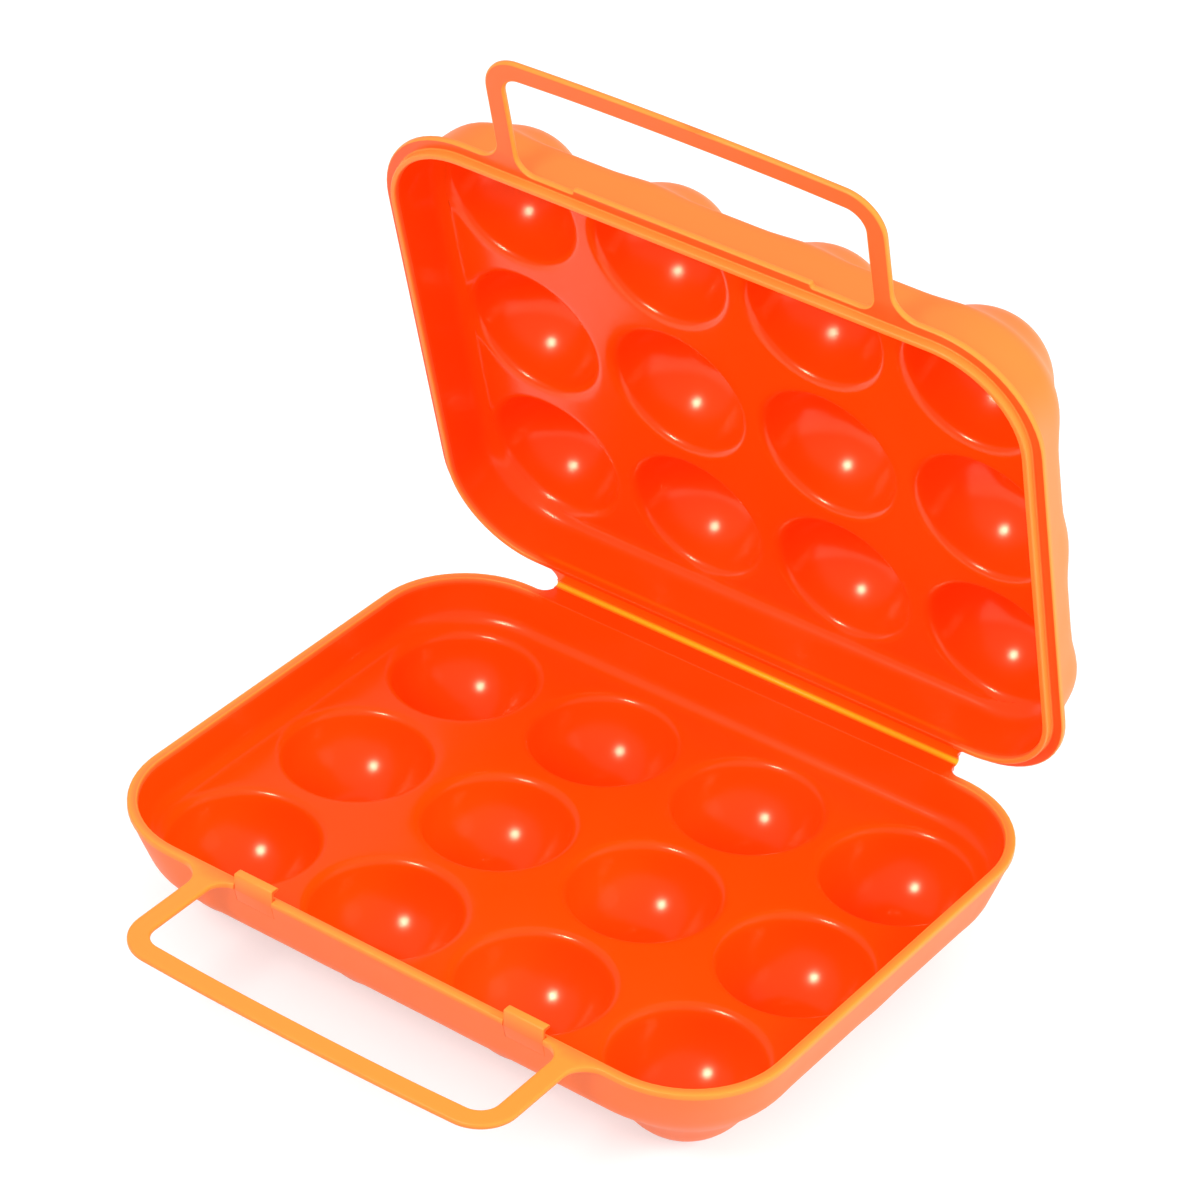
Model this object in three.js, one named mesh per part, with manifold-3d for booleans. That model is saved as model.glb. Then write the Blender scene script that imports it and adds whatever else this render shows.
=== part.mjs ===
// An egg keeper for a dozen eggs: a tray and a lid with egg cups, joined by a thin hinge film.
// Lengths are in millimetres. X runs along the hinge, the handles point to -Y when the keeper
// is closed, and +Z is up. The lid stands open. The origin is under the middle of the open keeper.
import * as THREE from 'three';
import { mergeGeometries, mergeVertices } from 'three/addons/utils/BufferGeometryUtils.js';
import Module from 'manifold-3d';

// Egg cups
const cupColumns = 4;
const cupRows = 3;
const cupPitch = 48.4;
const cupRadius = 21.5;
const cupDepth = 19.5;
const cupFootRadius = 7;
const sideMargin = 8.4; // from the outermost cup to the rim's outer edge
const endMargin = 9.8; // the same at the front and at the hinge

// Walls and rims
const wall = 1.2;
const plateDepth = 15; // from the rim down to the underside of the plate that the cups hang from
const wallDraft = 1.4; // how far a wall leans in on its way down
const footRound = 2.8;
const cornerRadius = 30;
const flangeThickness = 1.6;
const trayOverhang = 1.5; // flange outside the tray's wall
const lidOverhang = 3.6; // flange outside the lid's wall
const lipHeight = 2.5; // the lid's lip, which goes down into the tray
const lipClearance = 0.3;
const faceGap = 0.3; // between the two rims when closed

// Hinge
const hingeReach = 5.2; // from a rim's back edge to the hinge line
const filmHalfWidth = 1.2;
const filmThickness = 0.5;
const tabFillet = 3.5;
const tabLand = 1.5; // straight edge between the tab's fillet and the rim's corner
const openAngle = 74; // degrees from closed

// Handles
const handleWidth = 122.4;
const handleReach = 38.4;
const handleBand = 5.8;
const handleThickness = 2;
const handleCorner = 11;
const rootFillet = 7;
const innerRootFillet = 5;
const rootAngle = 65; // degrees of a root's fillet, so that it ends in a blunt edge at the rim

// Catches
const catchWidth = 12.5;
const catchStem = 1.2;
const catchRise = 3.4;
const catchLip = 1.4; // thickness of the hooked lip
const catchReach = 3.7; // from the stem's outer face to the lip's edge
const catchLead = 0.7; // slope that the lid rides over
const catchDrop = 6; // from the rim down to the catch's root
const catchPad = 7; // length of the pad that carries the root
const catchSpace = 0.6; // from the catch to the handle's root
const lidRelief = 0.4; // room between the lid's flange and the stems

const seam = 0.3; // gap between pieces that are cut to each other
const overrun = 1; // how far a cutter passes a face

// Facets
const cornerSteps = 4;
const cupSides = 20;
const cupRings = 4;
const footSteps = 2;

const halfWidth = ((cupColumns - 1) * cupPitch) / 2 + cupRadius + sideMargin;
const halfLength = ((cupRows - 1) * cupPitch) / 2 + cupRadius + endMargin;
const standHeight = plateDepth + cupDepth;
const hingeY = halfLength + hingeReach;
const tabEdge = hingeY - filmHalfWidth;
const tabHalfWidth = halfWidth - cornerRadius - tabFillet - tabLand;
const catchX = handleWidth / 2 - handleBand - innerRootFillet - catchSpace - catchWidth / 2;
const turn = Math.PI - THREE.MathUtils.degToRad(openAngle);

const wasm = await Module();
wasm.setup();

// A closed geometry as a solid that can be joined and cut
function solid(geometry) {
  const bare = geometry.index ? geometry.clone() : geometry;
  bare.deleteAttribute('normal');
  bare.deleteAttribute('uv');
  const welded = mergeVertices(bare);
  const vertProperties = new Float32Array(welded.attributes.position.array);
  const triVerts = new Uint32Array(welded.index.array);
  return new wasm.Manifold(new wasm.Mesh({ numProp: 3, vertProperties, triVerts }));
}

function geometryOf(body) {
  const { vertProperties, triVerts } = body.getMesh();
  const geometry = new THREE.BufferGeometry();
  geometry.setAttribute('position', new THREE.BufferAttribute(vertProperties, 3));
  geometry.setIndex(new THREE.BufferAttribute(triVerts, 1));
  geometry.computeVertexNormals();
  return geometry;
}

// A rounded rectangle, inset all round from the rim's outer edge
function insetOutline(inset) {
  const radius = cornerRadius - inset;
  const coreX = halfWidth - cornerRadius;
  const coreY = halfLength - cornerRadius;
  const shape = new THREE.Shape();
  shape.absarc(coreX, -coreY, radius, -Math.PI / 2, 0);
  shape.absarc(coreX, coreY, radius, 0, Math.PI / 2);
  shape.absarc(-coreX, coreY, radius, Math.PI / 2, Math.PI);
  shape.absarc(-coreX, -coreY, radius, Math.PI, Math.PI * 1.5);
  shape.closePath();
  return shape;
}

// The rim's outline with the tab that reaches to the hinge film
function rimOutline() {
  const coreX = halfWidth - cornerRadius;
  const coreY = halfLength - cornerRadius;
  const filletX = tabHalfWidth + tabFillet;
  const filletY = halfLength + tabFillet;
  const shape = new THREE.Shape();
  shape.absarc(coreX, -coreY, cornerRadius, -Math.PI / 2, 0);
  shape.absarc(coreX, coreY, cornerRadius, 0, Math.PI / 2);
  shape.absarc(filletX, filletY, tabFillet, -Math.PI / 2, -Math.PI, true);
  shape.lineTo(tabHalfWidth, tabEdge);
  shape.lineTo(-tabHalfWidth, tabEdge);
  shape.absarc(-filletX, filletY, tabFillet, 0, -Math.PI / 2, true);
  shape.absarc(-coreX, coreY, cornerRadius, Math.PI / 2, Math.PI);
  shape.absarc(-coreX, -coreY, cornerRadius, Math.PI, Math.PI * 1.5);
  shape.closePath();
  return shape;
}

function slab(shape, low, high) {
  const options = { depth: high - low, bevelEnabled: false, curveSegments: cornerSteps };
  return new THREE.ExtrudeGeometry(shape, options).translate(0, 0, low);
}

// A tapering block with rounded corners. Each level has a height z and an inset from the rim's edge.
function draftedBlock(levels) {
  const steps = levels.length - 1;
  const options = { depth: steps, steps, bevelEnabled: false, curveSegments: cornerSteps };
  const block = new THREE.ExtrudeGeometry(insetOutline(0), options);
  const core = new THREE.Vector2(halfWidth - cornerRadius, halfLength - cornerRadius);
  const place = block.attributes.position;
  for (let i = 0; i < place.count; i += 1) {
    const { z, inset } = levels[Math.round(place.getZ(i))];
    const point = new THREE.Vector2(place.getX(i), place.getY(i));
    const centre = point.clone().clamp(core.clone().negate(), core);
    const reach = point.clone().sub(centre).setLength(cornerRadius - inset);
    const moved = centre.add(reach);
    place.setXYZ(i, moved.x, moved.y, z);
  }
  return block;
}

// Levels down a wall that leans in and ends in a rounded foot
function wallLevels(topInset, floor, round, top) {
  const levels = [];
  for (let step = footSteps; step >= 0; step -= 1) {
    const angle = (step / footSteps) * (Math.PI / 2);
    levels.push({
      z: floor + round * (1 - Math.sin(angle)),
      inset: topInset + wallDraft + round * (1 - Math.cos(angle)),
    });
  }
  levels.push({ z: 0, inset: topInset });
  if (top > 0) {
    levels.push({ z: top, inset: topInset });
  }
  return levels;
}

// One egg cup: an oval bowl with a small flat foot, and a neck that reaches up into the plate
function cupGeometry(radius, top, neck) {
  const lastAngle = Math.acos(cupFootRadius / radius);
  const ovalDepth = cupDepth / Math.sin(lastAngle);
  const profile = [new THREE.Vector2(0, top - cupDepth)];
  for (let ring = cupRings; ring >= 0; ring -= 1) {
    const angle = (ring / cupRings) * lastAngle;
    profile.push(new THREE.Vector2(radius * Math.cos(angle), top - ovalDepth * Math.sin(angle)));
  }
  profile.push(new THREE.Vector2(radius, top + neck));
  profile.push(new THREE.Vector2(0, top + neck));
  return new THREE.LatheGeometry(profile, cupSides).rotateX(Math.PI / 2);
}

function cupPattern(radius, top, neck) {
  const cups = [];
  for (let row = 0; row < cupRows; row += 1) {
    for (let column = 0; column < cupColumns; column += 1) {
      const x = (column - (cupColumns - 1) / 2) * cupPitch;
      const y = (row - (cupRows - 1) / 2) * cupPitch;
      cups.push(cupGeometry(radius, top, neck).translate(x, y, 0));
    }
  }
  return solid(mergeGeometries(cups));
}

// A moulded half: flange, leaning walls, plate and cups, open at the top
function shell(overhang, lipInset) {
  const outer = draftedBlock(wallLevels(overhang, -plateDepth, footRound, 0));
  const floor = wall - plateDepth;
  const inner = draftedBlock(wallLevels(overhang + wall, floor, footRound - wall, lipHeight + overrun));
  let body = solid(slab(rimOutline(), -flangeThickness, 0)).add(solid(outer));
  if (lipInset > 0) {
    body = body.add(solid(slab(insetOutline(lipInset), -flangeThickness, lipHeight)));
  }
  body = body.add(cupPattern(cupRadius + wall, -plateDepth, wall));
  return body.subtract(solid(inner)).subtract(cupPattern(cupRadius, floor, wall / 2));
}

function block(width, length, height, x, y, z) {
  return new THREE.BoxGeometry(width, length, height).translate(x, y, z);
}

// A profile in Y and Z, given as [y, z] points, as wide as asked along X
function widePiece(points, width, x) {
  const shape = new THREE.Shape(points.map(([y, z]) => new THREE.Vector2(y, z)));
  const piece = new THREE.ExtrudeGeometry(shape, { depth: width, bevelEnabled: false });
  return piece.rotateX(Math.PI / 2).rotateZ(Math.PI / 2).translate(x - width / 2, 0, 0);
}

// The pad under a catch, flush with the rim and running out into the wall
function catchPadGeometry(x) {
  const front = -halfLength;
  const back = front + trayOverhang + wallDraft + wall / 2;
  const low = -catchDrop - catchPad;
  const points = [[back, low], [front, -catchDrop], [back, -catchDrop]];
  return widePiece(points, catchWidth, x);
}

function trayGeometry() {
  let body = shell(trayOverhang, 0);
  for (const x of [-catchX, catchX]) {
    const slotWidth = catchWidth + 2 * seam;
    const slotDepth = catchStem + seam + overrun;
    const slotY = -halfLength - overrun + slotDepth / 2;
    body = body.subtract(solid(block(slotWidth, slotDepth, 2 * catchDrop, x, slotY, 0)));
    body = body.add(solid(catchPadGeometry(x)));
  }
  return geometryOf(body);
}

function lidGeometry() {
  let body = shell(lidOverhang, trayOverhang + wall + lipClearance);
  const roomWidth = handleWidth / 2 - handleBand - innerRootFillet - catchX + catchWidth / 2 + lidRelief;
  for (const side of [-1, 1]) {
    const x = side * (catchX - catchWidth / 2 - lidRelief + roomWidth / 2);
    const roomDepth = catchStem + lidRelief + overrun;
    const y = -halfLength - overrun + roomDepth / 2;
    body = body.subtract(solid(block(roomWidth, roomDepth, 2 * catchDrop, x, y, 0)));
  }
  return geometryOf(body);
}

// A hooked tab: an upright stem with a lip that points inward over the lid's flange
function catchGeometry(x) {
  const front = -halfLength;
  const stem = front + catchStem;
  const lip = front + catchReach;
  const points = [
    [front, -catchDrop], [stem, -catchDrop], [stem, catchRise - catchLip], [lip, catchRise - catchLip],
    [lip, catchRise - catchLead], [lip - catchLead, catchRise], [front, catchRise],
  ];
  return widePiece(points, catchWidth, x);
}

// A flat bail with flared roots, its top face level with the rim
function handleGeometry() {
  const outerX = handleWidth / 2;
  const innerX = outerX - handleBand;
  const rootY = -halfLength - seam;
  const outerY = -halfLength - handleReach;
  const innerY = outerY + handleBand;
  const innerCorner = handleCorner - handleBand;
  const blunt = THREE.MathUtils.degToRad(rootAngle);
  const outerRootY = rootY - rootFillet * Math.sin(blunt);
  const innerRootY = rootY - innerRootFillet * Math.sin(blunt);
  const shape = new THREE.Shape();
  shape.absarc(-outerX - rootFillet, outerRootY, rootFillet, blunt, 0, true);
  shape.absarc(-outerX + handleCorner, outerY + handleCorner, handleCorner, Math.PI, Math.PI * 1.5);
  shape.absarc(outerX - handleCorner, outerY + handleCorner, handleCorner, Math.PI * 1.5, Math.PI * 2);
  shape.absarc(outerX + rootFillet, outerRootY, rootFillet, Math.PI, Math.PI - blunt, true);
  shape.absarc(innerX - innerRootFillet, innerRootY, innerRootFillet, blunt, 0, true);
  shape.absarc(innerX - innerCorner, innerY + innerCorner, innerCorner, 0, -Math.PI / 2, true);
  shape.absarc(-innerX + innerCorner, innerY + innerCorner, innerCorner, -Math.PI / 2, -Math.PI, true);
  shape.absarc(-innerX + innerRootFillet, innerRootY, innerRootFillet, Math.PI, Math.PI - blunt, true);
  shape.closePath();
  return slab(shape, -handleThickness, 0);
}

// The hinge film, bent round the hinge line from the tray's tab to the lid's
function filmGeometry() {
  const level = -(faceGap + filmThickness) / 2;
  const start = new THREE.Vector2(-filmHalfWidth, level);
  const middle = new THREE.Vector2(-level * Math.tan(turn / 2), level);
  const end = new THREE.Vector2(filmHalfWidth - seam, level).rotateAround(new THREE.Vector2(), turn);
  const bend = new THREE.QuadraticBezierCurve(start, middle, end);
  const steps = cornerSteps * 2;
  const inside = [];
  const outside = [];
  for (let i = 0; i <= steps; i += 1) {
    const point = bend.getPoint(i / steps);
    const along = bend.getTangent(i / steps);
    const across = new THREE.Vector2(-along.y, along.x).multiplyScalar(filmThickness / 2);
    inside.push([point.x + across.x + hingeY, point.y + across.y + faceGap / 2]);
    outside.push([point.x - across.x + hingeY, point.y - across.y + faceGap / 2]);
  }
  return widePiece([...outside, ...inside.reverse()], 2 * tabHalfWidth, 0);
}

function mesh(name, geometry, color, roughness) {
  const material = new THREE.MeshStandardMaterial({ color, roughness, metalness: 0 });
  const piece = new THREE.Mesh(geometry, material);
  piece.name = name;
  return piece;
}

const orange = '#fb5a14';
const paleOrange = '#fba047';
const gloss = 0.28;

const trayHalf = new THREE.Group();
trayHalf.add(mesh('tray', trayGeometry(), orange, gloss));
trayHalf.add(mesh('tray_handle', handleGeometry(), paleOrange, gloss));
trayHalf.add(mesh('left_catch', catchGeometry(-catchX), paleOrange, gloss));
trayHalf.add(mesh('right_catch', catchGeometry(catchX), paleOrange, gloss));
trayHalf.add(mesh('hinge_film', filmGeometry(), paleOrange, gloss));
trayHalf.position.z = standHeight;

const lidHalf = new THREE.Group();
lidHalf.add(mesh('lid', lidGeometry(), orange, gloss));
lidHalf.add(mesh('lid_handle', handleGeometry(), orange, gloss));
lidHalf.rotation.z = Math.PI;
lidHalf.position.set(0, hingeY, -faceGap / 2);

const hinge = new THREE.Group();
hinge.add(lidHalf);
hinge.position.set(0, hingeY, standHeight + faceGap / 2);
hinge.rotation.x = turn;

const keeper = new THREE.Group();
keeper.add(trayHalf, hinge);
const extent = new THREE.Box3().setFromObject(keeper, true);
keeper.position.y = -(extent.min.y + extent.max.y) / 2;

export default keeper;
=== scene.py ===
"""Dresses the egg keeper: smooth moulded shells with their handles, catches and the hinge film."""
import math

import bmesh
import bpy
import numpy as np
from mathutils import Matrix, Quaternion, Vector
from mathutils.geometry import delaunay_2d_cdt


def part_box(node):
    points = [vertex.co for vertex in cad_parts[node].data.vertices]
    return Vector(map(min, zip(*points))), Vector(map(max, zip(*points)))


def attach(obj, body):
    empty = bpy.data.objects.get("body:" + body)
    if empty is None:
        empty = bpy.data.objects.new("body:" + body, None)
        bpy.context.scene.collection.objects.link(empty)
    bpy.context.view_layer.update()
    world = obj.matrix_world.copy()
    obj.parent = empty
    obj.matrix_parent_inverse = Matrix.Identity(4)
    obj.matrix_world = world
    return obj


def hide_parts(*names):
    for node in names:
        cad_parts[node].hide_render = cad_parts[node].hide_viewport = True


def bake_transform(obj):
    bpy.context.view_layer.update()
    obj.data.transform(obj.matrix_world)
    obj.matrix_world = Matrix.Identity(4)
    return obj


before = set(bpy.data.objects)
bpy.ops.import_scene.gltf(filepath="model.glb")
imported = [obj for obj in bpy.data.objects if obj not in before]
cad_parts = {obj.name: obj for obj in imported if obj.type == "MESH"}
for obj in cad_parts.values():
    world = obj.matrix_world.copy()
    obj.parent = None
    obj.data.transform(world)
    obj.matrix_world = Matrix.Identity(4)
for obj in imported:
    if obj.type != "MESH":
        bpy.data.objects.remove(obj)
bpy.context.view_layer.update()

# Lengths below are in millimetres, in a half's own frame: rim at z = 0, cups below, hinge at +y
MM = 0.001
HALF_X = 102.5
HALF_Y = 79.7
CORNER = 30.0
PITCH = 48.4
CUP_R = 20.3
FOOT_R = 7.0
WALL = 1.2
DEPTH = 34.5  # of a half, from its rim to its feet, so that the tray's rim lies this high
FLOOR = -13.8
HINGE_Y = HALF_Y + 5.2
FACE_GAP = 0.3
OPEN_ANGLE = 74.0
TAB_X = 67.5
FILM_HALF = 1.2
TAB_Y = HINGE_Y - FILM_HALF
TAB_FILLET = 3.5
FLANGE = 1.7
LIP_HEIGHT = 2.5
LIP_INSET = 3.2
LIP_FOOT = 2.65
MOUTH = 2.2
DOME_R = 19.5
DOME_EDGE = 0.6
INSIDE = {"foot": 2.2, "fullness": 2.0, "blend": 3.2}  # a fullness of 2 is an ellipse, less is more pointed
OUTSIDE = {"fullness": 1.8, "blend": 8.5}
EDGE_TOP = (0.45, 0.6)  # radii of the flange's upper edge, at the rim and at the handle
EDGE_LOW = 0.6  # radius of the handle's lower edge
TAB_EDGE = 0.65  # radius of the small corners seen from above
HANDLE_X = 60.7
HANDLE_BAND = 5.8
HANDLE_CORNER = 11.6
HANDLE_BOW = 1.3
BOW_AT = (-36, -24, -12, 0, 12, 24, 36)
ROOT_OUT = 7.0
ROOT_IN = 5.0
CATCH_X = 43.55
CATCH_W = 12.5
CATCH_PLAY = 0.03
CATCH_EDGE = 0.25
EDGE_STEPS = 4
POCKET = {"out": 2, "in": 1.8, "low": -6, "high": 3}
FILM = 0.5
FILM_SUNK = 0.02  # the film lies this much lower than the middle of the tabs' faces
SEATED = 0.65  # and runs this far into them
RELIEF_X = 36.7
RELIEF = 1.4

# Tones are painted light and shade on the plastic's one colour. They run from 0, the deep colour inside,
# painted for the light trapped in the hollows, over the outside of the walls to 1 at rims and handles,
# painted paler where light falls and thin edges glow.
# From 0 down to -1 more light comes through from behind, painted as a glow
OUTER_TONE = 0.5
LID_OUTER_TONE = 0.7
FACE_TONE = 0.2  # painted tone of the flat faces of the lid's rim, deep as in shade
HANDLE_TONE = 0.45  # and of its handle
EDGE_TONE = 0.8  # lower edges, painted paler as thin edges glow
WALL_TOP_TONE = 0.9
TRAY_RIM_TONE = 0.6
SIDE_TONE = 0.3  # sides of the catches, painted as in shade

QUARTER = 8  # samples on half a corner, and on half a cell's side
ROUND = 4 * 2 * QUARTER  # samples round a cup
STEP = math.radians(45 / QUARTER)
HINT = 0.12  # a flat starts this far before its rounded edge, so that it shades flat
LOW_HINT = 0.03  # the same where there is little room

tray_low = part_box("tray")[0]
SHIFT = tray_low[1] / MM + HALF_Y


def tray_place():
    return Matrix.Translation((0, SHIFT, DEPTH))


def lid_place():
    turn = math.pi - math.radians(OPEN_ANGLE)
    hinge = Matrix.Translation((0, HINGE_Y + SHIFT, DEPTH + FACE_GAP / 2))
    back = Matrix.Translation((0, HINGE_Y, -FACE_GAP / 2))
    return hinge @ Matrix.Rotation(turn, 4, "X") @ back @ Matrix.Rotation(math.pi, 4, "Z")


def rounded(corners, closed=True, hint=0.0, step=STEP):
    """Rounds the corners of a path given as (x, y, radius). Gives points and outward normals; the
    material lies to the left. A radius of None runs the curve on to the neighbouring corners."""
    count = len(corners)
    ends = []
    for i, (x, y, radius) in enumerate(corners):
        here = Vector((x, y))
        if not closed and i in (0, count - 1):
            ends.append((here, here, []))
            continue
        before = Vector(corners[i - 1][:2])
        after = Vector(corners[(i + 1) % count][:2])
        d1 = (here - before).normalized()
        d2 = (after - here).normalized()
        bend = math.atan2(d1.x * d2.y - d1.y * d2.x, d1.dot(d2))
        if abs(bend) < 1e-5:
            ends.append((here, here, []))
            continue
        if radius is None:
            radius = min((here - before).length, (after - here).length) / 2 / math.tan(abs(bend) / 2)
        reach = radius * math.tan(abs(bend) / 2)
        side = 1 if bend > 0 else -1
        start = here - d1 * reach
        first = Vector((d1.y, -d1.x))
        centre = start - first * (radius * side)
        steps = max(2, math.ceil(abs(bend) / step - 1e-6)) if radius > 0 else 1
        arc = []
        for k in range(steps + 1):
            turn = bend * k / steps
            normal = Vector((first.x * math.cos(turn) - first.y * math.sin(turn),
                             first.x * math.sin(turn) + first.y * math.cos(turn)))
            arc.append((centre + normal * (radius * side), normal))
        ends.append((start, here + d2 * reach, arc))
    out = []
    for i, (start, end, arc) in enumerate(ends):
        out.extend(arc if arc else [])
        if not closed and i == 0:
            out.append((start, None))
        if closed or i < count - 1:
            following = ends[(i + 1) % count][0]
            span = following - end
            if hint and span.length > 4 * hint:
                d = span.normalized()
                normal = Vector((d.y, -d.x))
                out.append((end + d * hint, normal))
                out.append((following - d * hint, normal))
        if not closed and i == count - 1:
            out.append((start, None))
    return out


def rail():
    """Every sample round the rim, counter-clockwise from the front left corner: the centre that it turns
    about, its heading, and how far that centre moves in when the sides do."""
    x, y, p, q, n = HALF_X - CORNER, HALF_Y - CORNER, PITCH, PITCH / 2, QUARTER
    legs = [
        ((-x, -y), (-x, -y), 225, 270, n), ((-x, -y), (-p, -y), 270, 270, n),
        ((-p, -y), (0, -y), 270, 270, 2 * n), ((0, -y), (p, -y), 270, 270, 2 * n),
        ((p, -y), (x, -y), 270, 270, n), ((x, -y), (x, -y), 270, 315, n),
        ((x, -y), (x, -y), 315, 360, n), ((x, -y), (x, -q), 360, 360, n),
        ((x, -q), (x, q), 360, 360, 2 * n),
        ((x, q), (x, y), 360, 360, n), ((x, y), (x, y), 360, 405, n),
        ((x, y), (x, y), 405, 450, n), ((x, y), (p, y), 450, 450, n),
        ((p, y), (0, y), 450, 450, 2 * n), ((0, y), (-p, y), 450, 450, 2 * n),
        ((-p, y), (-x, y), 450, 450, n), ((-x, y), (-x, y), 450, 495, n),
        ((-x, y), (-x, y), 495, 540, n), ((-x, y), (-x, q), 540, 540, n),
        ((-x, q), (-x, -q), 540, 540, 2 * n),
        ((-x, -q), (-x, -y), 540, 540, n), ((-x, -y), (-x, -y), 540, 585, n),
    ]
    out = []
    for (x0, y0), (x1, y1), a0, a1, n in legs:
        for k in range(n):
            t = k / n
            a = math.radians(a0 + (a1 - a0) * t)
            cx, cy = x0 + (x1 - x0) * t, y0 + (y1 - y0) * t
            mx = math.copysign(max(0, abs(cx) - p) / (x - p), cx)
            my = math.copysign(max(0, abs(cy) - q) / (y - q), cy)
            out.append((cx, cy, math.cos(a), math.sin(a), mx, my))
    return out


RAIL = rail()
ALONG = 4 * 2 * QUARTER  # rail samples on the front
ACROSS = 3 * 2 * QUARTER  # and on a side


def on_rail(i, inset, wall):
    """A point at an inset from the rim. A wall is given as (inset at its top, lean, widening of its corners):
    above its top the corners tighten with the inset, down the wall they widen, and more so lower down."""
    x, y, dx, dy, mx, my = RAIL[i % len(RAIL)]
    top, lean, widening = wall
    kept = min(inset, top)
    moved = inset - kept
    wider = widening * min(1, moved / lean) ** 2
    radius = CORNER - kept + wider
    return x - mx * (moved + wider) + dx * radius, y - my * (moved + wider) + dy * radius


class Solid:
    """Collects vertices, welded where they meet, and faces."""

    def __init__(self):
        self.points = []
        self.tones = []
        self.index = {}
        self.faces = []

    def at(self, x, y, z, tone=1.0):
        key = (round(x, 4), round(y, 4), round(z, 4))
        if key not in self.index:
            self.index[key] = len(self.points)
            self.points.append((x, y, z))
            self.tones.append(tone)
        return self.index[key]

    def face(self, *corners):
        ring = [c for i, c in enumerate(corners) if c != corners[i - 1]]
        if len(set(ring)) >= 3:
            self.faces.append(ring)

    def bridge(self, a, b):
        for i in range(len(a)):
            j = (i + 1) % len(a)
            self.face(a[i], a[j], b[j], b[i])

    def region(self, loops, z):
        """Fills the flat between closed loops of vertices: the first is the outer one, the rest are holes."""
        coords, edges, owners = [], [], []
        for loop in loops:
            base = len(coords)
            for k, v in enumerate(loop):
                coords.append(Vector(self.points[v][:2]))
                owners.append(v)
                edges.append((base + k, base + (k + 1) % len(loop)))
        verts, _, faces, sources, _, _ = delaunay_2d_cdt(coords, edges, [], 0, 1e-5)
        ids = []
        for v, source in zip(verts, sources):
            ids.append(owners[source[0]] if source else self.at(v.x, v.y, z))
        flat = np.array([tuple(v) for v in verts])
        middle = np.array([flat[list(f)].mean(axis=0) for f in faces])
        a = np.array([tuple(coords[e[0]]) for e in edges])
        b = np.array([tuple(coords[e[1]]) for e in edges])
        crossed = np.zeros(len(middle), dtype=int)
        for (x0, y0), (x1, y1) in zip(a, b):
            if abs(y1 - y0) < 1e-9:
                continue
            between = (middle[:, 1] > min(y0, y1)) & (middle[:, 1] <= max(y0, y1))
            at = x0 + (middle[:, 1] - y0) * (x1 - x0) / (y1 - y0)
            crossed += between & (at > middle[:, 0])
        for f, n in zip(faces, crossed):
            if n % 2:
                self.face(*[ids[k] for k in f])

    def object(self, name, place):
        mesh = bpy.data.meshes.new(name)
        scale = Matrix.Scale(MM, 4)
        mesh.from_pydata([scale @ place @ Vector(p) for p in self.points], [], self.faces)
        tone = mesh.attributes.new("tone", "FLOAT", "POINT")
        tone.data.foreach_set("value", self.tones)
        bm = bmesh.new()
        bm.from_mesh(mesh)
        loose = [v for v in bm.verts if not v.link_faces]
        bmesh.ops.delete(bm, geom=loose, context="VERTS")
        bmesh.ops.recalc_face_normals(bm, faces=bm.faces)
        for f in bm.faces:
            f.smooth = True
        bm.to_mesh(mesh)
        bm.free()
        piece = bpy.data.objects.new(name, mesh)
        bpy.context.scene.collection.objects.link(piece)
        return piece


def soft_min(a, b, k):
    """The smaller value, with a smooth passage of width k between both."""
    h = max(k - abs(a - b), 0) / k
    return min(a, b) - h * h * k / 4


def bowl(radius, edge, top, depth):
    """Rings of a cup from the plate to its foot, as (radius, height). The edge is rounded by edge."""
    oval = depth / math.sin(math.acos(FOOT_R / radius))
    edge_steps, side_steps = 5, 16
    rings = [(radius + edge + HINT, top)]
    for k in range(edge_steps + 1):
        a = math.radians(90 * k / edge_steps)
        rings.append((radius + edge * (1 - math.sin(a)), top - edge * (1 - math.cos(a))))
    start = math.asin(edge / oval)
    last = math.radians(86)
    for k in range(1, side_steps + 1):
        a = start + (last - start) * k / side_steps
        rings.append((radius * math.cos(a), top - soft_min(oval * math.sin(a), depth, 0.5)))
    return rings


def cell_corner(a, b, inset, wall):
    """The corner in column a and row b of the grid between the cups, on the rail where it lies at the rim."""
    if b == 0:
        return on_rail(2 * QUARTER * a, inset, wall)
    if a == 4:
        return on_rail(ALONG + 2 * QUARTER * b, inset, wall)
    if b == 3:
        return on_rail(ALONG + ACROSS + 2 * QUARTER * (4 - a), inset, wall)
    if a == 0:
        return on_rail(2 * ALONG + ACROSS + 2 * QUARTER * (3 - b), inset, wall)
    return (a - 2) * PITCH, (b - 1.5) * PITCH


def cell_loop(column, row, inset, wall):
    """Points round a cell of the plate, counter-clockwise from its front left corner."""
    n = 2 * QUARTER
    c = [cell_corner(column, row, inset, wall), cell_corner(column + 1, row, inset, wall),
         cell_corner(column + 1, row + 1, inset, wall), cell_corner(column, row + 1, inset, wall)]
    rails = [
        n * column if row == 0 else None,
        ALONG + n * row if column == 3 else None,
        ALONG + ACROSS + n * (3 - column) if row == 2 else None,
        2 * ALONG + ACROSS + n * (2 - row) if column == 0 else None,
    ]
    loop = []
    for side in range(4):
        (x0, y0), (x1, y1) = c[side], c[(side + 1) % 4]
        for k in range(n):
            if rails[side] is not None:
                loop.append(on_rail(rails[side] + k, inset, wall))
            else:
                t = k / n
                loop.append((x0 + (x1 - x0) * t, y0 + (y1 - y0) * t))
    return loop


WITHIN = 0.96  # a cup's widest ring reaches at most this share of the way to its cell's edge
FLAT_ROWS = 5


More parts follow.
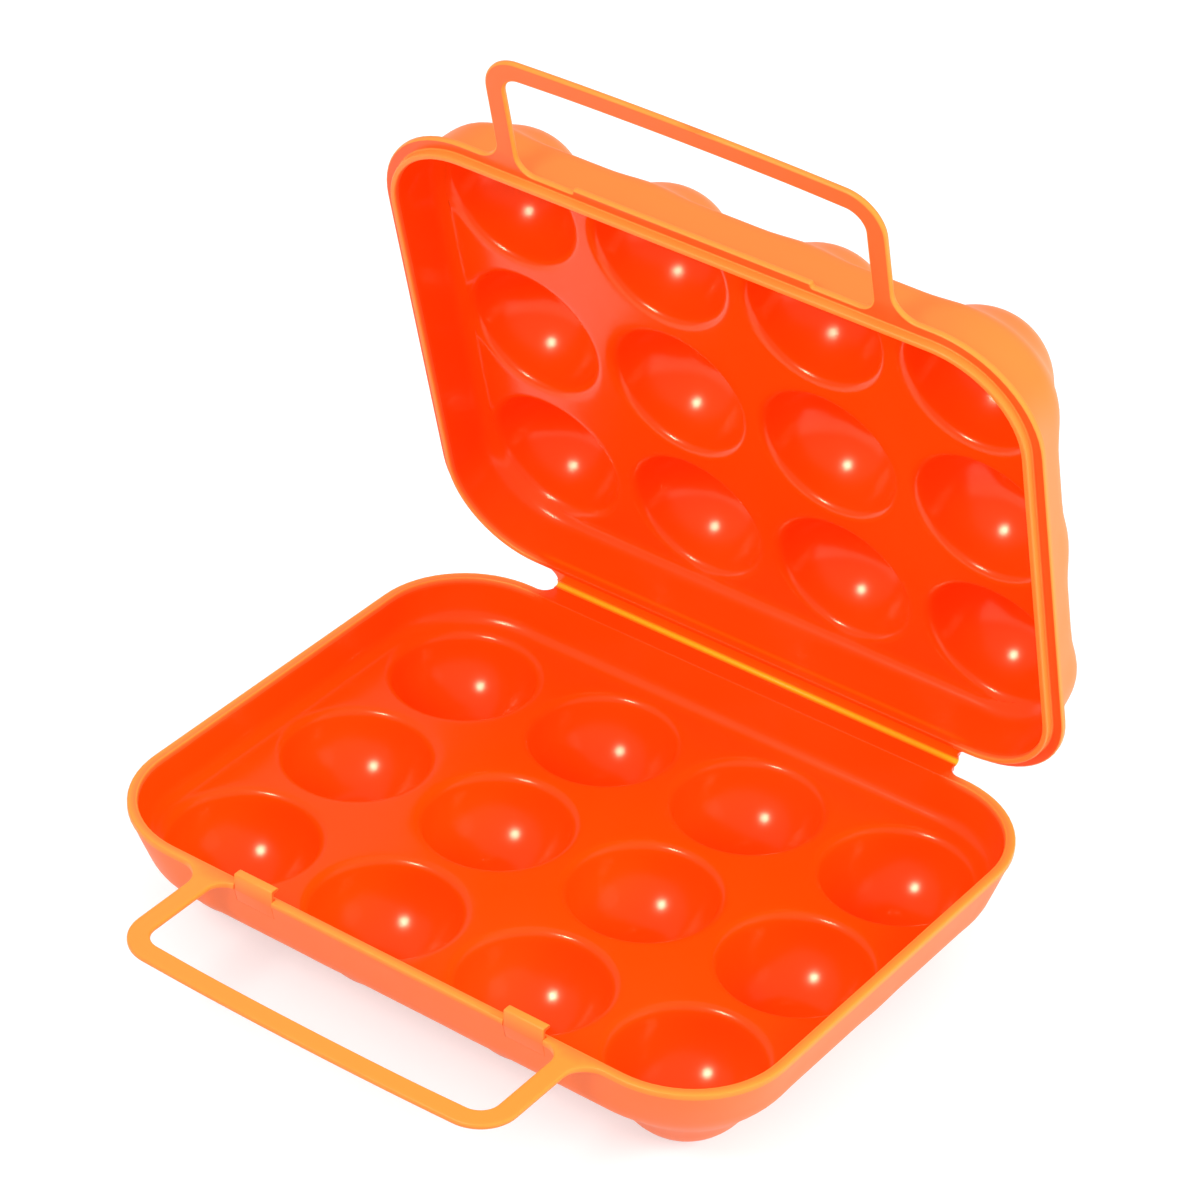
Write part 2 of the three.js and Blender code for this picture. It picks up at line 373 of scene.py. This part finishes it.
def plate(solid, inset, wall, z, cups, skin, tone):
    """The plate of twelve cups, out to the given inset from the rim. The skin places each point. Beside the
    walls the cups' rings are drawn in, so that they stay within their cell."""
    turns = [math.radians(225) + 2 * math.pi * k / ROUND for k in range(ROUND)]
    for column in range(4):
        for row in range(3):
            x0 = (column - 1.5) * PITCH
            y0 = (row - 1) * PITCH
            loop = cell_loop(column, row, inset, wall)
            wide = cups[0][0]
            drawn = [min(0, WITHIN * math.hypot(x - x0, y - y0) / wide - 1) for x, y in loop]
            first = [wide * (1 + d) for d in drawn]
            edge = [(x0 + r * math.cos(a), y0 + r * math.sin(a)) for r, a in zip(first, turns)]
            rows = []
            for i in range(FLAT_ROWS):
                t = i / FLAT_ROWS
                rows.append([(x + (u - x) * t, y + (v - y) * t, z) for (x, y), (u, v) in zip(loop, edge)])
            for r, h in cups:
                reach = [r * (1 + d * (r / wide) ** 2) for d in drawn]
                rows.append([(x0 + q * math.cos(a), y0 + q * math.sin(a), h) for q, a in zip(reach, turns)])
            rows.append([(x0, y0, cups[-1][1])] * ROUND)
            placed = skin(np.array(rows).reshape(-1, 3)).reshape(len(rows), ROUND, 3)
            outer = None
            for line in placed:
                inner = [solid.at(*p, tone) for p in line]
                if outer:
                    solid.bridge(outer, inner)
                outer = inner


def rail_rows(solid, profile, wall, tones, skin):
    """Walls that follow the rim, from a profile of (inset, z). Gives the last ring. The skin places the
    points of the wall, but not those outside its top."""
    ring = None
    for (inset, z), tone in zip(profile, tones):
        line = np.array([(*on_rail(i, inset, wall), z) for i in range(len(RAIL))])
        placed = skin(line) if inset >= wall[0] else line
        current = [solid.at(*p, tone) for p in placed]
        if ring:
            solid.bridge(ring, current)
        ring = current
    return ring


def rim_outline(mid, reach):
    """The rim with its tab and the handle's outer edge."""
    low = -HALF_Y - reach
    bow = [(mid + x, low + HANDLE_BOW * (x / HANDLE_X) ** 2, None) for x in BOW_AT]
    corner_y = low + HANDLE_BOW
    corners = [
        (mid + HANDLE_X, -HALF_Y, ROOT_OUT), (HALF_X, -HALF_Y, CORNER), (HALF_X, HALF_Y, CORNER),
        (TAB_X, HALF_Y, TAB_FILLET), (TAB_X, TAB_Y, TAB_EDGE), (-TAB_X, TAB_Y, TAB_EDGE),
        (-TAB_X, HALF_Y, TAB_FILLET), (-HALF_X, HALF_Y, CORNER), (-HALF_X, -HALF_Y, CORNER),
        (mid - HANDLE_X, -HALF_Y, ROOT_OUT), (mid - HANDLE_X, corner_y, HANDLE_CORNER), *bow,
        (mid + HANDLE_X, corner_y, HANDLE_CORNER),
    ]
    return rounded(corners, hint=HINT)


def hole_outline(mid, reach, relief):
    """The opening between the rim and the handle. With a relief the rim steps back beside the roots."""
    left, right = mid - HANDLE_X + HANDLE_BAND, mid + HANDLE_X - HANDLE_BAND
    low = -HALF_Y - reach + HANDLE_BAND
    bow = [(mid - x, low + HANDLE_BOW * (x / HANDLE_X) ** 2, None) for x in BOW_AT]
    corner_y = low + HANDLE_BOW
    inner = HANDLE_CORNER - HANDLE_BAND
    if relief:
        front = -HALF_Y + RELIEF
        edge = [(left, front, ROOT_IN), (-RELIEF_X, front, TAB_EDGE), (-RELIEF_X, -HALF_Y, TAB_EDGE),
                (RELIEF_X, -HALF_Y, TAB_EDGE), (RELIEF_X, front, TAB_EDGE), (right, front, ROOT_IN)]
    else:
        edge = [(left, -HALF_Y, ROOT_IN), (right, -HALF_Y, ROOT_IN)]
    corners = [(right, corner_y, inner), *bow, (left, corner_y, inner), *edge]
    return rounded(corners, hint=HINT)


def edge_radius(point, at_rim, at_handle):
    """Runs smoothly from the rim's value to the handle's, within 5 mm in front of the rim."""
    share = min(1, max(0, (-HALF_Y - 0.5 - point.y) / 5))
    share = share * share * (3 - 2 * share)
    return at_rim + (at_handle - at_rim) * share


def face_tone(point, lip):
    """The tone of a flat face beside its edge, at the rim or the handle."""
    return edge_radius(point, FACE_TONE, HANDLE_TONE) if lip else 1.0


def edge_strips(solid, samples, low_rim, lip):
    """The rounded edge of the flange, whose lower edge has the radius low_rim at the rim. Gives its top ring
    and its lowest ring."""
    top_steps, low_steps = 5, 4
    rows = [(True, None)] + [(True, k) for k in range(top_steps + 1)]
    rows += [(False, k) for k in range(low_steps, -1, -1)] + [(False, None)]
    first = ring = None
    for upper, k in rows:
        current = []
        for point, normal in samples:
            radius = edge_radius(point, *(EDGE_TOP if upper else (low_rim, EDGE_LOW)))
            if k is None:
                depth, drop = radius + (HINT if upper else LOW_HINT), 0
            else:
                a = math.radians(90 * k / (top_steps if upper else low_steps))
                depth, drop = radius * (1 - math.sin(a)), radius * (1 - math.cos(a))
            moved = point - normal * depth
            z = -drop if upper else drop - FLANGE
            # Painted light: the upper rounding is painted palest and the lower one a little less, as thin lit
            # edges glow; the flat beside the top takes the face's painted tone.
            tone = 1.0 if upper else EDGE_TONE
            if upper and k in (None, 0):
                tone = face_tone(point, lip)
            current.append(solid.at(moved.x, moved.y, z, tone))
        if ring:
            solid.bridge(ring, current)
        else:
            first = current
        ring = current
    return first, ring


FOOT_BLEND = 1.2


def smooth_union(a, b, k):
    """The same for arrays of distances, which runs two bodies into one another."""
    h = np.maximum(k - np.abs(a - b), 0) / k
    return np.minimum(a, b) - h * h * k / 4


def skin_of(wall, top, floor, foot, radius, fullness, depth, blend):
    """Gives a function that moves points onto the surface where walls, plate and cups run into one another.
    The wall's highest points stay where they are."""
    kept_top, passes, probe = 1.6, 8, 0.01
    inset_top, lean, widening = wall
    n = fullness
    oval = depth / (1 - (FOOT_R / radius) ** n) ** (1 / n)
    slope = lean / (top - floor)
    steep = 1 / math.hypot(1, slope)

    def distance(p):
        x, y, z = p[:, 0], p[:, 1], p[:, 2]
        inset = inset_top + slope * (top - z)
        corner = CORNER - inset_top + widening * np.clip((top - z) / (top - floor), 0, 1) ** 2
        u = np.abs(x) - (HALF_X - inset - corner)
        v = np.abs(y) - (HALF_Y - inset - corner)
        side = np.hypot(np.maximum(u, 0), np.maximum(v, 0)) + np.minimum(np.maximum(u, v), 0) - corner
        body = -smooth_union(-side * steep, z - floor, 2 * foot)
        for column in range(4):
            for row in range(3):
                r = np.hypot(x - (column - 1.5) * PITCH, y - (row - 1) * PITCH) / radius + 1e-6
                d = np.abs(z - floor) / oval + 1e-6
                size = (r ** n + d ** n) ** (1 / n)
                slant = size ** (1 - n) * np.hypot(r ** (n - 1) / radius, d ** (n - 1) / oval)
                cup = -smooth_union((1 - size) / slant, z - floor + depth, FOOT_BLEND)
                body = smooth_union(body, cup, blend)
        return body

    def skin(points):
        p = points.copy()
        free = p[:, 2] < top - kept_top
        q = p[free]
        for _ in range(passes):
            at = distance(q)
            slopes = np.zeros_like(q)
            for axis in range(3):
                step = np.zeros(3)
                step[axis] = probe
                slopes[:, axis] = (distance(q + step) - distance(q - step)) / (2 * probe)
            size = np.maximum((slopes ** 2).sum(axis=1), 0.05)
            q = q - slopes * (at / size)[:, None]
        p[free] = q
        return p

    return skin


def close_rows(path, widest):
    """Puts further rows on the long straight stretches of a wall's profile."""
    rows = []
    for p, _ in rounded(path, closed=False, hint=HINT, step=STEP * 2):
        if rows and abs(rows[-1][1] - p.y) > widest:
            (u, z), n = rows[-1], math.ceil(abs(rows[-1][1] - p.y) / widest)
            rows += [(u + (p.x - u) * k / n, z + (p.y - z) * k / n) for k in range(1, n)]
        rows.append((p.x, p.y))
    return rows


def dim_hinge(solid, lip):
    """Paints shade along the hinge by deepening the tone, where little light comes through the edges. Below 0
    is the lid's face under its lip, the deep colour with a painted glow of light from behind, which lifts the
    shade in its groove."""
    start, fade, side_fade = HALF_Y - 7, 2, 6
    lid_face = (-0.3, 0.2)
    for i, (x, y, z) in enumerate(solid.points):
        if z > -FLANGE + 0.01:
            near = min(1, max(0, (y - start) / fade))
            near *= min(1, max(0, (TAB_X + side_fade - abs(x)) / side_fade))
            lowest = -1.0 if lip and lid_face[0] < z < lid_face[1] else 0.0
            solid.tones[i] += (lowest - solid.tones[i]) * near


def half(lip, mid, reach, outside, inside, foot, under, low_rim):
    """One moulded half with its flange, tab and handle in one skin. Its handle lies mid off the middle and
    reaches out by reach. Both walls are given as for on_rail. The outside of its plate lies under mm below
    the rim, with a rounding of foot where the wall meets it."""
    solid = Solid()
    overhang, lean, _ = outside
    inner_top = inside[0]
    floor_in = inner_top + inside[1]
    foot_in = INSIDE["foot"]
    path = [(floor_in + foot_in + 0.05, FLOOR, 0), (floor_in, FLOOR, foot_in)]
    if lip:
        path += [(inner_top, LIP_HEIGHT, 0.5), (LIP_INSET, LIP_HEIGHT, 0.5), (LIP_INSET, 0, 0.25),
                 (LIP_FOOT, 0, 0)]
    else:
        path += [(inner_top, 0, 0.4), (inner_top - 0.4 - HINT, 0, 0)]
    rows = close_rows(path, 1.0)
    top = LIP_HEIGHT if lip else 0.0
    tones = []
    # Painted shade: the inner wall is painted palest at its top and deeper the lower it lies, down to the
    # deep colour.
    for inset, z in rows:
        within = inset > inner_top - 0.7
        tones.append(max(0, WALL_TOP_TONE + (z - top) / 2) if within else WALL_TOP_TONE)
    tones[-1] = FACE_TONE if lip else TRAY_RIM_TONE
    depth = DEPTH - WALL + FLOOR
    skin = skin_of(inside, top, FLOOR, radius=CUP_R, depth=depth, **INSIDE)
    plate(solid, rows[0][0], inside, FLOOR, bowl(CUP_R, MOUTH, FLOOR, depth), skin, 0.0)
    inner_ring = rail_rows(solid, rows, inside, tones, skin)
    rim_top, rim_low = edge_strips(solid, rim_outline(mid, reach), low_rim, lip)
    hole_top, hole_low = edge_strips(solid, hole_outline(mid, reach, lip), low_rim, lip)
    solid.region([rim_top, hole_top, inner_ring], 0)
    root = min(0.4, (overhang - low_rim) / 3)
    deep = overhang + lean
    path = [(overhang - root - LOW_HINT, -FLANGE, 0), (overhang, -FLANGE, root),
            (deep, -under, foot), (deep + foot + 0.05, -under, 0)]
    rows = close_rows(path, 1.6)
    depth = DEPTH - under
    skin = skin_of(outside, -FLANGE, -under, foot=foot, radius=DOME_R, depth=depth, **OUTSIDE)
    # Painted light: the outside is painted paler than the inside, the lid's more so.
    tone = LID_OUTER_TONE if lip else OUTER_TONE
    tones = [tone] * len(rows)
    outer_ring = rail_rows(solid, rows[:1], outside, tones, skin)
    rail_rows(solid, rows, outside, tones, skin)
    solid.region([rim_low, hole_low, outer_ring], -FLANGE)
    plate(solid, rows[-1][0], outside, -under, bowl(DOME_R, DOME_EDGE, -under, depth), skin, tone)
    dim_hinge(solid, lip)
    return solid


RIM_ZONE = 0.6


def cut(piece, lows_and_highs):
    """Cuts plain boxes, given in metres, out of a piece. New points get the rim's tone or the outside's."""
    bm = bmesh.new()
    for low, high in lows_and_highs:
        size = [h - l for l, h in zip(low, high)]
        middle = [(h + l) / 2 for l, h in zip(low, high)]
        bmesh.ops.create_cube(bm, size=1, matrix=Matrix.Translation(middle) @ Matrix.Diagonal((*size, 1)))
    mesh = bpy.data.meshes.new("cutter")
    bm.to_mesh(mesh)
    bm.free()
    cutter = bpy.data.objects.new("cutter", mesh)
    bpy.context.scene.collection.objects.link(cutter)
    change = piece.modifiers.new("cut", "BOOLEAN")
    change.operation = "DIFFERENCE"
    change.solver = "EXACT"
    change.object = cutter
    done = piece.evaluated_get(bpy.context.evaluated_depsgraph_get())
    fresh = bpy.data.meshes.new_from_object(done)
    known = {}
    for v, t in zip(piece.data.vertices, piece.data.attributes["tone"].data):
        known[tuple(round(c, 6) for c in v.co)] = t.value
    for v, t in zip(fresh.vertices, fresh.attributes["tone"].data):
        plain = 1.0 if v.co.z > (DEPTH - RIM_ZONE) * MM else OUTER_TONE
        t.value = known.get(tuple(round(c, 6) for c in v.co), plain)
    piece.modifiers.clear()
    piece.data = fresh
    bpy.data.objects.remove(cutter)
    fresh.set_sharp_from_angle(angle=math.radians(50))


def catch(x):
    """A hooked tab, flush with the wall, with its lip over the rim."""
    side_view = [
        (1.3, -5.95, 0.1), (1.77, -5.95, 0.1), (1.2, -2.4, 0.5), (1.2, 2.15, 0.3),
        (3.15, 2.15, 0.3), (3.15, 2.8, 0.3), (2.55, 3.4, 0.4), (0.1, 3.4, 0.5), (0.2, -1.7, 0.5),
    ]
    outline = rounded([(y - HALF_Y, z, radius) for y, z, radius in side_view], step=STEP * 2)
    solid = Solid()
    half_width = CATCH_W / 2 - CATCH_PLAY
    rings = []
    for side in (-1, 1):
        for k in (range(EDGE_STEPS + 1) if side < 0 else range(EDGE_STEPS, -1, -1)):
            a = math.radians(90 * k / EDGE_STEPS)
            inset = CATCH_EDGE * (1 - math.sin(a))
            at = x + side * (half_width - CATCH_EDGE * (1 - math.cos(a)))
            ring = []
            for p, n in outline:
                spot = p - n * inset
                # Painted light and shade: the catch's sides are painted darker as in shade and its top paler
                # as lit.
                tone = SIDE_TONE if k == 0 else 1.0 if spot.y > 2.5 else OUTER_TONE
                ring.append(solid.at(at, *spot, tone))
            rings.append(ring)
    for a, b in zip(rings, rings[1:]):
        solid.bridge(a, b)
    solid.face(*rings[0])
    solid.face(*reversed(rings[-1]))
    return solid


def film():
    """The hinge film at rest, bent from the tray's tab to the lid's."""
    level = -(FACE_GAP + FILM) / 2 - FILM_SUNK
    turn = math.pi - math.radians(OPEN_ANGLE)
    start = Vector((-FILM_HALF, level))
    end = Matrix.Rotation(turn, 2) @ Vector((FILM_HALF, level))
    middle = Vector((-level * math.tan(turn / 2), level))
    steps = 16
    solid = Solid()
    rings = []
    for i in range(-1, steps + 2):
        t = min(1, max(0, i / steps))
        p = start * (1 - t) ** 2 + middle * (2 * t * (1 - t)) + end * t * t
        d = ((middle - start) * (1 - t) + (end - middle) * t).normalized()
        if i != t * steps:
            p += d * (SEATED if i > 0 else -SEATED)
        across = Vector((-d.y, d.x)) * (FILM / 2)
        ring = []
        # Painted light: the film is painted paler along its middle, as it glows lit from behind, and deep at
        # its ends.
        tone = min(1, 5 * t * (1 - t))
        for face, x in ((-1, -TAB_X), (-1, TAB_X), (1, TAB_X), (1, -TAB_X)):
            spot = p + across * face
            ring.append(solid.at(x, spot.x + HINGE_Y, spot.y + FACE_GAP / 2, tone))
        rings.append(ring)
    for a, b in zip(rings, rings[1:]):
        solid.bridge(a, b)
    solid.face(*rings[0])
    solid.face(*reversed(rings[-1]))
    return solid


def add(tree, kind, values=None, **settings):
    """Adds a shader node with the values of its inputs and its own settings."""
    node = tree.nodes.new("ShaderNode" + kind)
    for key, value in settings.items():
        setattr(node, key, value)
    for key, value in (values or {}).items():
        node.inputs[key].default_value = value
    return node


def plastic(name, deep, middle, pale, roughness, matt, glow, through):
    """Moulded plastic with soft flow marks and faint handling wear, glossy inside and duller outside, where
    matt is its roughness. Its colour follows the tone, which paints light and shade. The glow is painted
    light, an emission in the plastic's colour for light that comes through from behind, and rises to through
    at the tone -1."""
    material = bpy.data.materials.new(name)
    material.use_nodes = True
    tree = material.node_tree
    link = tree.links.new
    shader = tree.nodes["Principled BSDF"]
    place = add(tree, "TexCoord").outputs["Object"]
    tone = add(tree, "Attribute", attribute_name="tone").outputs["Fac"]
    flow = add(tree, "TexNoise", {"Scale": 14, "Detail": 2})
    wear = add(tree, "TexNoise", {"Scale": 90, "Detail": 4})
    link(place, flow.inputs["Vector"])
    link(place, wear.inputs["Vector"])

    mottle = add(tree, "MapRange", {"To Min": -0.06, "To Max": 0.06})
    link(flow.outputs["Fac"], mottle.inputs["Value"])
    total = add(tree, "Math", operation="ADD")
    link(tone, total.inputs[0])
    link(mottle.outputs["Result"], total.inputs[1])
    mix = add(tree, "ValToRGB")
    ends = mix.color_ramp.elements
    ends[0].position = 0
    ends[0].color = (*deep, 1)
    ends[1].position = 1
    ends[1].color = (*pale, 1)
    ends.new(OUTER_TONE).color = (*middle, 1)
    link(total.outputs["Value"], mix.inputs["Fac"])
    link(mix.outputs["Color"], shader.inputs["Base Color"])

    span = add(tree, "MapRange", {"To Min": roughness - 0.03, "To Max": roughness + 0.05})
    link(wear.outputs["Fac"], span.inputs["Value"])
    duller = add(tree, "MapRange", {"From Max": OUTER_TONE, "To Max": matt - roughness})
    link(tone, duller.inputs["Value"])
    rough = add(tree, "Math", operation="ADD")
    link(span.outputs["Result"], rough.inputs[0])
    link(duller.outputs["Result"], rough.inputs[1])
    link(rough.outputs["Value"], shader.inputs["Roughness"])

    bump = add(tree, "Bump", {"Strength": 0.05, "Distance": 0.0005})
    link(flow.outputs["Fac"], bump.inputs["Height"])
    link(bump.outputs["Normal"], shader.inputs["Normal"])
    shader.inputs["IOR"].default_value = 1.49
    shader.inputs["Specular Tint"].default_value = (1, 0.85, 0.55, 1)

    # Painted glow: the emission stands in for light coming through the plastic from behind.
    shader.inputs["Emission Strength"].default_value = through
    if through == glow:
        link(mix.outputs["Color"], shader.inputs["Emission Color"])
        return material
    share = add(tree, "MapRange", {"From Min": -1, "From Max": 0, "To Min": 1, "To Max": glow / through})
    link(tone, share.inputs["Value"])
    lit = add(tree, "VectorMath", operation="SCALE")
    link(mix.outputs["Color"], lit.inputs[0])
    link(share.outputs["Result"], lit.inputs["Scale"])
    link(lit.outputs["Vector"], shader.inputs["Emission Color"])
    return material


# Pieces
# Both plastics carry a painted glow: the shell's 0.1 everywhere, rising to 0.65 under the lid's lip, and the
# film's 0.35.
shell_look = plastic("orange_plastic", deep=(0.95, 0.062, 0.001), middle=(0.95, 0.155, 0.03),
                     pale=(0.97, 0.27, 0.035), roughness=0.19, matt=0.42, glow=0.1, through=0.65)
film_look = plastic("thin_plastic", deep=(0.95, 0.1, 0.003), middle=(0.96, 0.26, 0.005),
                    pale=(0.97, 0.37, 0.01), roughness=0.3, matt=0.4, glow=0.35, through=0.35)

tray_half = half(lip=False, mid=0.8, reach=38.38, outside=(0.3, 3.9, 3.0), inside=(2.7, 1.4, 3.4), foot=2.4,
                 under=17.7, low_rim=0.12)
tray = tray_half.object("tray_shell", tray_place())
pockets = []
for side in (-1, 1):
    reach = CATCH_W / 2 + CATCH_PLAY
    a = (side * CATCH_X - reach, -HALF_Y - POCKET["out"] + SHIFT, DEPTH + POCKET["low"])
    b = (side * CATCH_X + reach, -HALF_Y + POCKET["in"] + SHIFT, DEPTH + POCKET["high"])
    pockets.append(([v * MM for v in a], [v * MM for v in b]))
cut(tray, pockets)
lid_half = half(lip=True, mid=-0.6, reach=37.9, outside=(3.6, 2.6, 1.0), inside=(4.8, 1.7, 2.4), foot=2.2,
                under=18.2, low_rim=0.3)
lid = lid_half.object("lid_shell", lid_place())
for piece, body, nodes in ((tray, "base", ("tray", "tray_handle")), (lid, "cover", ("lid", "lid_handle"))):
    piece.data.materials.clear()
    piece.data.materials.append(shell_look)
    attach(piece, body)
    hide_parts(*nodes)

for side, body in ((-1, "left_tab"), (1, "right_tab")):
    name = "left_catch" if side < 0 else "right_catch"
    snap = catch(side * CATCH_X).object(name + "_hook", tray_place())
    snap.data.materials.append(shell_look)
    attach(snap, body)
    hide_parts(name)

strip = film().object("hinge_strip", tray_place())
strip.data.materials.append(film_look)
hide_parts("hinge_film")

# Stage
floor_mesh = bpy.data.meshes.new("floor")
floor_mesh.from_pydata([(-4, -4, 0), (4, -4, 0), (4, 4, 0), (-4, 4, 0)], [], [(0, 1, 2, 3)])
floor = bpy.data.objects.new("floor", floor_mesh)
bpy.context.scene.collection.objects.link(floor)
floor_look = bpy.data.materials.new("floor")
floor_look.use_nodes = True
tree = floor_look.node_tree
link = tree.links.new
paint = tree.nodes["Principled BSDF"]
paint.inputs["Base Color"].default_value = (0.55, 0.55, 0.55, 1)
paint.inputs["Roughness"].default_value = 0.9
paint.inputs["Specular IOR Level"].default_value = 0.1
paint.inputs["Emission Color"].default_value = (1, 1, 1, 1)
path = add(tree, "LightPath")
seen = add(tree, "Math", operation="MAXIMUM")
link(path.outputs["Is Camera Ray"], seen.inputs[0])
link(path.outputs["Is Glossy Ray"], seen.inputs[1])
lift = add(tree, "Math", {1: 0.55}, operation="MULTIPLY")
link(seen.outputs["Value"], lift.inputs[0])
link(lift.outputs["Value"], paint.inputs["Emission Strength"])
floor_mesh.materials.append(floor_look)

world = bpy.data.worlds.new("studio")
bpy.context.scene.world = world
world.use_nodes = True
tree = world.node_tree
link = tree.links.new
back = tree.nodes["Background"]
back.inputs["Color"].default_value = (1, 1, 1, 1)
path = add(tree, "LightPath")
seen = add(tree, "Math", operation="MAXIMUM")
link(path.outputs["Is Camera Ray"], seen.inputs[0])
link(path.outputs["Is Transmission Ray"], seen.inputs[1])
level = add(tree, "MapRange", {"To Min": 0.95, "To Max": 1})
link(seen.outputs["Value"], level.inputs["Value"])
# The background is mirrored less bright than it lights the object
mirrored = add(tree, "Math", {1: -0.7}, operation="MULTIPLY_ADD")
link(path.outputs["Is Glossy Ray"], mirrored.inputs[0])
link(level.outputs["Result"], mirrored.inputs[2])
link(mirrored.outputs["Value"], back.inputs["Strength"])


def lamp(name, centre, distance, azimuth, elevation, size, power, glint):
    """A round soft lamp that faces a point, azimuth 0 in front and positive to the right. It either lights
    the scene or is only mirrored in it, as a glint."""
    a, e = math.radians(azimuth), math.radians(elevation)
    away = Vector((math.sin(a) * math.cos(e), -math.cos(a) * math.cos(e), math.sin(e)))
    light = bpy.data.lights.new(name, "AREA")
    light.shape = "DISK"
    light.size = size
    light.energy = power
    holder = bpy.data.objects.new(name, light)
    holder.location = Vector(centre) + away * distance
    holder.rotation_mode = "QUATERNION"
    holder.rotation_quaternion = away.to_track_quat("Z", "Y")
    holder.visible_camera = False
    holder.visible_glossy = glint
    holder.visible_diffuse = not glint
    bpy.context.scene.collection.objects.link(holder)


MIDDLE = (0, 0.066, 0.115)
lamp("key", MIDDLE, 0.9, azimuth=-9, elevation=40, size=0.3, power=2.5, glint=False)
lamp("glint", MIDDLE, 0.9, azimuth=-9, elevation=40, size=0.17, power=5, glint=True)
lamp("side", (0.1, 0.066, 0.06), 1.1, azimuth=97, elevation=28, size=0.7, power=9, glint=False)

# Camera, as fitted to the edges in the photo of 1200 x 1200: focal length in its pixels, turn and move
lens_px = 4509.592
turned = Vector((2.070316, 0.699800, -0.314710))
move = Vector((-7.5203, 56.6724, 1195.5474))
to_view = Quaternion(turned.normalized(), turned.length).to_matrix()
data = bpy.data.cameras.new("camera")
data.sensor_width = 36
data.lens = lens_px / 1200 * 36
camera = bpy.data.objects.new("camera", data)
spot = -(to_view.transposed() @ move) + Vector((0, SHIFT, DEPTH))
axes = Matrix((to_view[0], -to_view[1], -to_view[2])).transposed()
camera.matrix_world = Matrix.Translation(spot * MM) @ axes.to_4x4()
bpy.context.scene.collection.objects.link(camera)
bpy.context.scene.camera = camera
bpy.context.scene.view_settings.view_transform = "Standard"

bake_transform(strip)
